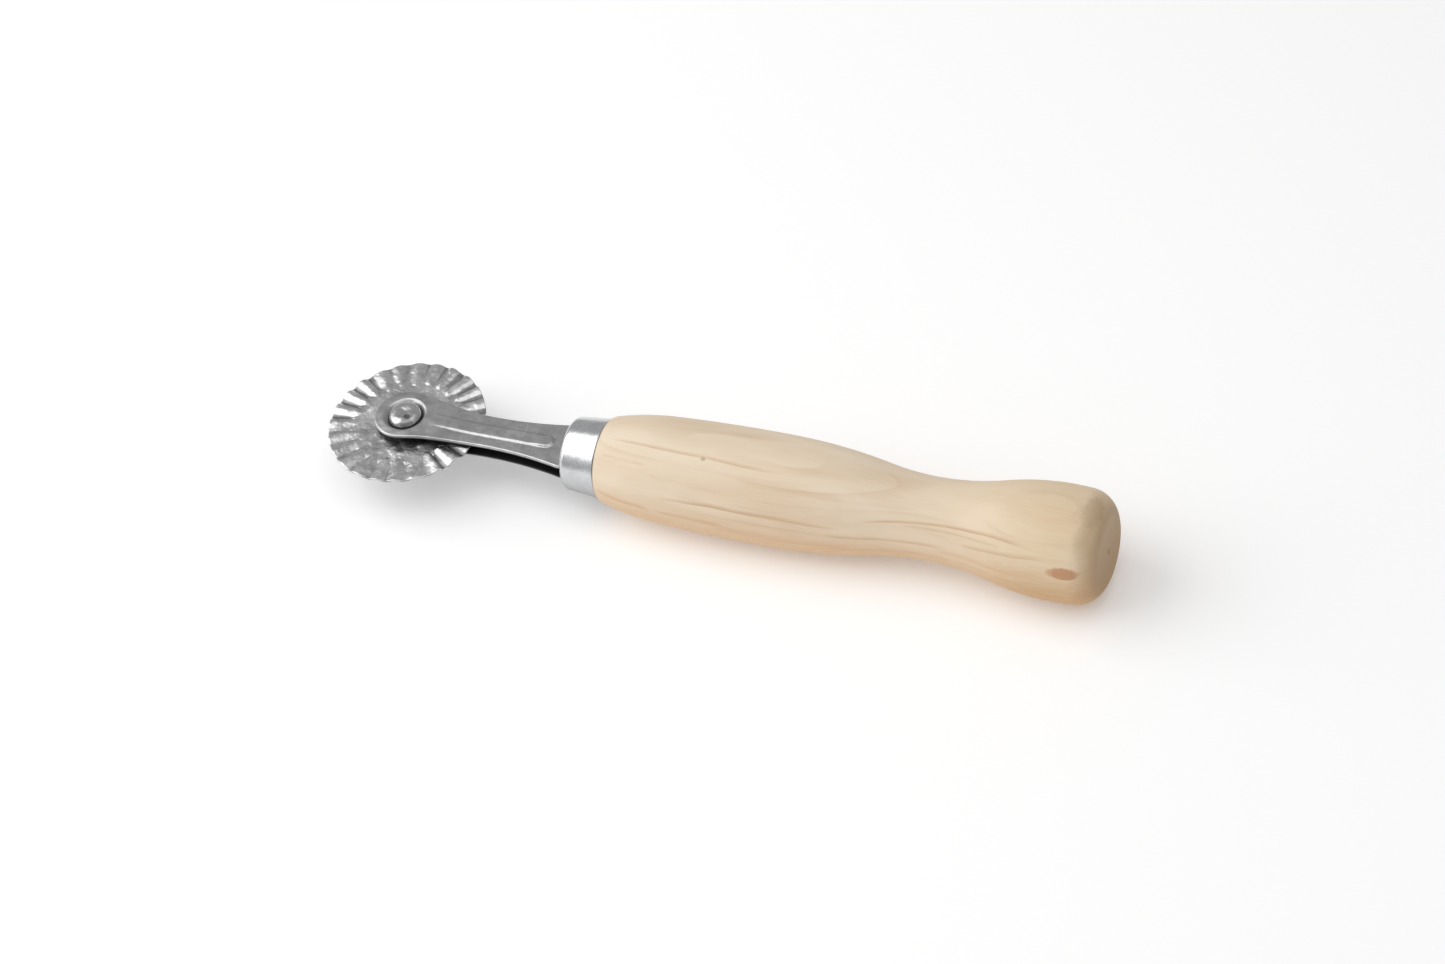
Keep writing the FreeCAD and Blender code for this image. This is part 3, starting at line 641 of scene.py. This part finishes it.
def make_wheel(material):
    """The pressed wheel: a scuffed, uneven centre, and flutes with broad crests and narrow valleys."""
    rim = RIM_RADIUS - RIM_ROUND
    clearance = 0.02                # keeps the deepest flutes inside the CAD wheel's height
    rim_wave = WHEEL_HALF_HEIGHT - WHEEL_HALF_SHEET - clearance
    shoulder_wave = rim_wave * SHOULDER_SHARE
    steps_per_flute = 22
    lump_count = 48
    draw = random.Random(7)
    flutes = draw_flutes(draw)
    lumps = draw_lumps(draw, lump_count, places=(4, 11.8), heights=(-0.2, 0.2), spreads=(0.8, 2.0))
    loop = wheel_section(rim)

    points = []
    for number, flute in enumerate(flutes):
        left = number + FLUTE_TURN + flute.valley
        right = number + FLUTE_TURN + 1 + flutes[(number + 1) % FLUTES].valley
        for step in range(steps_per_flute):
            share = step / steps_per_flute
            across = 2 * share - 1
            middle = 1 - across * across
            angle = (left + (right - left) * share) * math.tau / FLUTES
            leant = across + flute.lean * middle
            crest = (1 - 2 * math.sin(abs(leant) * math.pi / 2) ** flute.flatness) * depth_at(angle)
            start = FLUTE_START + FLUTE_SIDE_LAG * (1 - middle) + flute.finger * middle
            for radius, side in loop:
                spot = min(radius, rim)
                swell = (spot - FLUTE_START) / (rim - FLUTE_START)
                wave = (shoulder_wave + (rim_wave - shoulder_wave) * swell) * crest
                height = wave * smoothstep(start, start + FLUTE_RISE, spot)
                height += dent_height(lumps, spot, angle)
                height += side * WHEEL_HALF_SHEET
                points.append(AXLE + Vector((radius * math.cos(angle), radius * math.sin(angle), height)))

    faces = grid_faces(FLUTES * steps_per_flute, len(loop), rows_close=True, columns_close=True)
    wheel = mesh_object("fluted_wheel", points, faces, smooth_angle=50.0)
    return finish_piece(wheel, WHEEL_BODY, "pastry_wheel", material)


# ---------------------------------------------------------------- fork
def arm_level(along, across):
    """Height of an arm's outer face above the wheel plane, at a place measured from the axle."""
    level = BOSS_TOP + (SHAFT_TOP - BOSS_TOP) * smoothstep(*JOGGLE, along)
    level += (TANG_TOP - SHAFT_TOP) * smoothstep(*TANG_STEP, along)
    # the rib fades in behind the boss and is highest at its rear end
    beyond = max(0.0, along - RIB_BACK, RIB_FRONT - along)
    off_rib = math.hypot(beyond, across)
    fade_in = smoothstep(RIB_FRONT - 2, RIB_FRONT + 8, along)
    end_rise = 0.7 * smoothstep(RIB_BACK - 5, RIB_BACK, along)
    on_rib = 1 - smoothstep(RIB_TOP_HALF, RIB_HALF, off_rib)
    level += RIB_HEIGHT * (1 + end_rise) * fade_in * on_rib
    # the brim of the nose, and the dish round the rivet
    at_brim = smoothstep(0.70, 1.0, math.hypot(along, across) / BOSS_RADIUS)
    on_nose = 1 - smoothstep(2.0, 7.0, along)
    level -= NOSE_DROP * at_brim * on_nose
    off_dish = math.hypot(along - DISH_CENTRE.x, across - DISH_CENTRE.y)
    level += (DISH_FLOOR - BOSS_TOP) * (1 - smoothstep(*DISH_WALL, off_dish))
    return level


def arm_outline():
    """The far half of an arm's plan, from the nose to the tang, as (spine, edge) pairs."""
    nose_steps = 60
    spacing = 0.3
    centre_up = FLANK_RADIUS + WAIST_HALF
    centre_along = math.sqrt((FLANK_RADIUS + BOSS_RADIUS) ** 2 - centre_up ** 2)
    toe = centre_along * BOSS_RADIUS / (FLANK_RADIUS + BOSS_RADIUS)
    flare_half = centre_up - math.sqrt(FLANK_RADIUS ** 2 - (FLARE_END - centre_along) ** 2)
    pairs = []
    for step in range(nose_steps + 1):
        angle = math.pi - (math.pi / 2) * step / nose_steps
        pairs.append((Vector((0, 0)), Vector((math.cos(angle), math.sin(angle))) * BOSS_RADIUS))
    along = 0.25
    while along < TANG_SHOULDER[1] + 2:
        if along < toe:
            half = math.sqrt(BOSS_RADIUS ** 2 - along ** 2)
        elif along < FLARE_END:
            half = centre_up - math.sqrt(FLANK_RADIUS ** 2 - (along - centre_along) ** 2)
        else:
            half = flare_half + (TANG_HALF - flare_half) * smoothstep(*TANG_SHOULDER, along)
        pairs.append((Vector((along, 0)), Vector((along, half))))
        along += spacing
    tang_end = arm_high.x - AXLE.x
    pairs.append((Vector((tang_end, 0)), Vector((tang_end, TANG_HALF))))
    return pairs


def arm_section(reach):
    """An arm's section from its spine to its edge and back, as (distance, depth) pairs."""
    inner_spacing = 0.2
    inner_steps, outer_steps, roll_steps = 13, 24, 6
    inner = [inner_spacing * step for step in range(inner_steps + 1)]
    span = reach - EDGE_ROLL - 0.05 - inner[-1]
    face = inner + [inner[-1] + span * step / outer_steps for step in range(1, outer_steps + 1)]
    turns = [math.pi / 2 * step / roll_steps for step in range(roll_steps + 1)]
    edge = [(EDGE_ROLL * (1 - math.sin(turn)), EDGE_ROLL * (1 - math.cos(turn))) for turn in turns]
    # the corner on the inner face is only just broken
    edge += [(0.0, ARM_SHEET - 0.12), (0.04, ARM_SHEET - 0.04), (0.14, ARM_SHEET)]
    loop = [(distance, 0.0) for distance in face]
    loop += [(reach - inset, depth) for inset, depth in edge]
    return loop + [(distance, ARM_SHEET) for distance in reversed(face)]


def make_arm(name, node, side, material):
    """One pressed arm. side is 1 above the wheel and -1 below it."""
    far = arm_outline()
    near = [(Vector((spine.x, -spine.y)), Vector((edge.x, -edge.y))) for spine, edge in far]
    stations = list(reversed(near)) + far[1:]
    points = []
    for spine, edge in stations:
        ray = edge - spine
        loop = arm_section(ray.length)
        ray = ray / ray.length
        for distance, depth in loop:
            spot = spine + ray * distance
            level = arm_level(spot.x, spot.y) - depth
            points.append(AXLE + Vector((spot.x, side * spot.y, side * level)))
    count = len(loop)
    faces = grid_faces(len(stations), count)
    for station in (len(stations) - 1, 0):
        faces.append(list(range(station * count, (station + 1) * count)))
    arm = mesh_object(name, points, faces, smooth_angle=50.0)
    return finish_piece(arm, FRAME_BODY, node, material)


# ---------------------------------------------------------------- axle pieces
def head_profile(radius, face, brim):
    """From the middle of a rivet head's face, level and then rounding over, out to its brim."""
    level_steps, round_steps = 6, 18
    level_share = 0.46
    level_radius = radius * level_share
    profile = [(face, level_radius * step / level_steps) for step in range(level_steps)]
    for step in range(round_steps + 1):
        turn = math.pi / 2 * step / round_steps
        profile.append((brim + (face - brim) * math.cos(turn),
                        level_radius + (radius - level_radius) * math.sin(turn)))
    return profile


def make_rivet(material):
    """The rivet: flat-topped head above, hammered head below, and the shank between them."""
    top = rivet_high.z - AXLE.z
    bottom = rivet_low.z - AXLE.z
    head = (rivet_high.x - rivet_low.x) / 2
    formed = head - 0.3
    seat = DISH_FLOOR + 0.02        # both heads sit this far off the wheel plane
    blow_count = 12
    draw = random.Random(12)
    blows = draw_lumps(draw, blow_count, places=(0, 3.2), heights=(0.02, 0.07), spreads=(0.6, 1.1))
    blows.append((RIVET_HOLLOW.length, math.atan2(RIVET_HOLLOW.y, RIVET_HOLLOW.x), 0.14, 0.8))

    def hammered(along, radius, angle):
        """Presses shallow hammer marks into both heads."""
        on_face = smoothstep(DISH_FLOOR + 0.3, DISH_FLOOR + 0.7, abs(along))
        depth = lump_height(blows, radius, angle) * on_face
        return along - math.copysign(depth, along), radius

    upper = head_profile(head, top, DISH_FLOOR + 0.35)
    upper += [(DISH_FLOOR + 0.12, head - 0.04), (seat, head - 0.2)]
    lower = head_profile(formed, bottom, -DISH_FLOOR - 0.3)
    lower += [(-DISH_FLOOR - 0.1, formed - 0.06)]
    shank = [(seat, SHANK_RADIUS), (-seat, SHANK_RADIUS), (-seat, formed - 0.2)]
    profile = upper + shank + list(reversed(lower))
    rivet = lathe("domed_rivet", profile, AXLE, "Z", warp=hammered, smooth_angle=60.0)
    return finish_piece(rivet, FRAME_BODY, "axle_rivet", material)


def make_ring(name, node, low, high, bore, material):
    """A plain ring about the axle with broken edges: the sleeve or a washer."""
    outer = (high.x - low.x) / 2
    foot = low.z - AXLE.z
    top = high.z - AXLE.z
    bevel = 0.12
    profile = [
        (foot + bevel, bore), (foot, bore + bevel), (foot, outer - bevel), (foot + bevel, outer),
        (top - bevel, outer), (top, outer - bevel), (top, bore + bevel), (top - bevel, bore),
        (foot + bevel, bore),
    ]
    ring = lathe(name, profile, AXLE, "Z", segments=72)
    return finish_piece(ring, FRAME_BODY, node, material)


# ---------------------------------------------------------------- ferrule and handle
def make_ferrule(material):
    """The ferrule: conical shell, rounded-in lip, and a thin broken rear edge."""
    length = ferrule_high.x - ferrule_low.x
    rear = (ferrule_high.y - ferrule_low.y) / 2
    front = rear - 0.8
    wall = 0.6
    lip = 1.6
    lip_steps, taper_steps = 14, 30

    def lip_arc(radius, turns):
        """Points of the lip's outer or inner round, both about one centre."""
        return [(lip - radius * math.cos(turn), front - lip + radius * math.sin(turn)) for turn in turns]

    turns = [math.pi / 2 * step / lip_steps for step in range(lip_steps + 1)]
    outer_lip = lip_arc(lip, turns)
    inner_lip = lip_arc(lip - wall, reversed(turns))
    taper = [(lip + (length - lip) * share, front + (rear - front) * share)
             for share in [step / taper_steps for step in range(1, taper_steps)]]
    back = [(length - 0.12, rear - 0.01), (length - 0.02, rear - 0.06), (length, rear - 0.2),
            (length, rear - wall)]
    profile = outer_lip + taper + back + inner_lip + outer_lip[:1]
    dent_count = 34
    draw = random.Random(3)
    dents = draw_lumps(draw, dent_count, places=(1.5, length - 1.5), heights=(0.02, 0.05),
                       spreads=(1.2, 3.0))

    def dented(along, radius, angle):
        """Presses a few faint dents into the shell, measured along it and round it."""
        total = 0.0
        for place, heading, depth, spread in dents:
            turn = (angle - heading + math.pi) % math.tau - math.pi
            off = math.hypot(along - place, turn * rear)
            total += depth * math.exp(-(off / spread) ** 2)
        return along, radius - total

    origin = Vector((ferrule_low.x, 0, AXLE.z))
    ferrule = lathe("conical_ferrule", profile, origin, "X", segments=240, warp=dented)
    return finish_piece(ferrule, FRAME_BODY, "ferrule", material)


def arc_points(start, end, radius, hollow, count):
    """Points after start, up to end, on the short arc between them. hollow bends it inwards."""
    chord = end - start
    rise = math.sqrt(radius ** 2 - chord.length_squared / 4)
    normal = Vector((chord.y, -chord.x)).normalized() * (-rise if hollow else rise)
    centre = (start + end) / 2 + normal
    first, last = start - centre, end - centre
    sweep = first.angle_signed(last)
    return [centre + Matrix.Rotation(-sweep * step / count, 2) @ first for step in range(1, count + 1)]


def make_handle(material):
    """The turned handle, from its spigot to the flat butt with a lathe centre mark."""
    front = handle_low.x
    butt = handle_high.x
    shoulder = front + 7.8
    shoulder_radius = 10.2
    joint = shoulder + 0.16         # the wood starts a little behind the ferrule's edge
    arc_steps = 28
    mark = 0.8
    skin = 0.012                    # keeps the round grip inside the flat facets of the CAD mesh
    # station behind the shoulder, radius there, radius of the arc that leads on, and its bend
    stations = [(0.0, shoulder_radius, 4.1, False), (1.5, 10.95, 72.0, False),
                (16.0, 13.2, 470.0, False), (46.8, 13.8, 143.0, False), (71.6, 11.3, 68.0, True),
                (100.8, 12.1, 66.0, False), (122.0, 13.9, 7.0, False), (butt - shoulder, 9.0, 0.0, False)]
    grip = [Vector((shoulder, shoulder_radius))]
    for (here, radius, arc, hollow), (after, radius_after, _, _) in zip(stations, stations[1:]):
        start = Vector((shoulder + here, radius))
        end = Vector((shoulder + after, radius_after))
        grip += arc_points(start, end, arc, hollow, arc_steps)
    profile = [(front, 0.0), (front, 3.0), (front, 8.4), (front + 0.15, 8.55)]
    profile += [(joint, radius) for radius in (9.37, 9.6, 9.9)] + [(joint + 0.05, 10.12)]
    profile += [(point.x, point.y - skin) for point in grip if point.x > joint + 0.1]
    profile += [(butt, radius) for radius in (7.0, 5.0, 3.0, 1.6, 1.1)]
    profile += [(butt - 0.08, mark), (butt - 0.35, mark * 0.55), (butt - mark, 0.0)]
    handle = lathe("turned_handle", profile, Vector((0, 0, AXLE.z)), "X", segments=160)
    return finish_piece(handle, FRAME_BODY, "handle", material)


# ---------------------------------------------------------------- stage
def make_camera():
    """A long-lens camera above and beside the tool, rolled as the tool lies in its picture."""
    azimuth = math.radians(30.66)
    elevation = math.radians(46.47)
    roll = math.radians(12.83)
    distance = 966.5
    aim = Vector((4.0, -0.6, AXLE.z))
    away = Vector((math.sin(azimuth) * math.cos(elevation), -math.cos(azimuth) * math.cos(elevation),
                   math.sin(elevation)))
    right = Vector((math.cos(azimuth), math.sin(azimuth), 0))
    up = away.cross(right)
    tilted_right = right * math.cos(roll) - up * math.sin(roll)
    tilted_up = up * math.cos(roll) + right * math.sin(roll)
    data = bpy.data.cameras.new("camera")
    data.sensor_width = 36.0
    data.lens = 99.65
    data.clip_start = 0.01
    data.clip_end = 20.0
    camera = bpy.data.objects.new("camera", data)
    turn = Matrix((tilted_right, tilted_up, away)).transposed().to_4x4()
    camera.matrix_world = Matrix.Translation((aim + away * distance) * MM) @ turn
    bpy.context.scene.collection.objects.link(camera)
    bpy.context.scene.camera = camera


def area_light(name, place, size, power):
    """A square softbox at place that faces the origin. place and size are in millimetres."""
    data = bpy.data.lights.new(name, "AREA")
    data.shape = "SQUARE"
    data.size = size * MM
    data.energy = power
    light = bpy.data.objects.new(name, data)
    light.location = Vector(place) * MM
    light.rotation_euler = (-Vector(place)).to_track_quat("-Z", "Y").to_euler()
    bpy.context.scene.collection.objects.link(light)


def make_floor():
    """A wide white floor."""
    half = 3000.0
    corners = [(-half, -half, 0), (half, -half, 0), (half, half, 0), (-half, half, 0)]
    floor = mesh_object("floor", corners, [(0, 1, 2, 3)])
    paper = Nodes("floor_paper")
    paper.set(Base_Color=(0.93, 0.93, 0.93, 1), Roughness=0.95, Emission_Color=(1, 1, 1, 1),
              Emission_Strength=0.15)
    floor.data.materials.append(paper.material)


def make_room():
    """A grey room, one large softbox in front of the wheel and a weaker one overhead."""
    scene = bpy.context.scene
    scene.view_settings.view_transform = "Standard"
    world = bpy.data.worlds.new("room")
    world.use_nodes = True
    background = world.node_tree.nodes["Background"]
    background.inputs["Color"].default_value = (1, 1, 1, 1)
    background.inputs["Strength"].default_value = 0.42
    scene.world = world
    area_light("key_softbox", (-740, -190, 655), size=1100, power=6.6)
    area_light("fill_softbox", (190, -200, 930), size=900, power=2.5)


# ---------------------------------------------------------------- the whole tool
make_camera()
make_floor()
make_room()

fork_steel = steel("fork_sheet_steel", (0.475, 0.475, 0.48), 0.29, shade=painted_shade_inside_fork, scratch_and_highlight=scribe)
wheel_steel = steel("wheel_sheet_steel", (0.605, 0.605, 0.605), 0.25, texture=EVEN_GRAIN, contrast=0.26,
                    scuff=0.9, ripple=0.7, shade=wheel_patches_and_valley_shade, scratch_and_highlight=wheel_painted_highlights)
rivet_steel = steel("rivet_bright_steel", (0.53, 0.53, 0.53), 0.22, texture=EVEN_GRAIN, ripple=0.4,
                    shade=rivet_painted_shade)
ferrule_steel = steel("ferrule_drawn_steel", (0.67, 0.68, 0.69), 0.21, contrast=0.08, scuff=0.3,
                      ripple=0.07, grit=0.005, shade=ferrule_painted_low_shade)

make_wheel(wheel_steel)
make_arm("pressed_arm_upper", "fork_arm_upper", 1, fork_steel)
make_arm("pressed_arm_lower", "fork_arm_lower", -1, fork_steel)
make_rivet(rivet_steel)
make_ring("spacer_sleeve", "axle_sleeve", sleeve_low, sleeve_high, SLEEVE_BORE, rivet_steel)
make_ring("washer_upper", "hub_washer_upper", upper_washer_low, upper_washer_high, WASHER_BORE, rivet_steel)
make_ring("washer_lower", "hub_washer_lower", lower_washer_low, lower_washer_high, WASHER_BORE, rivet_steel)
make_ferrule(ferrule_steel)
make_handle(turned_wood("pale_turned_wood"))
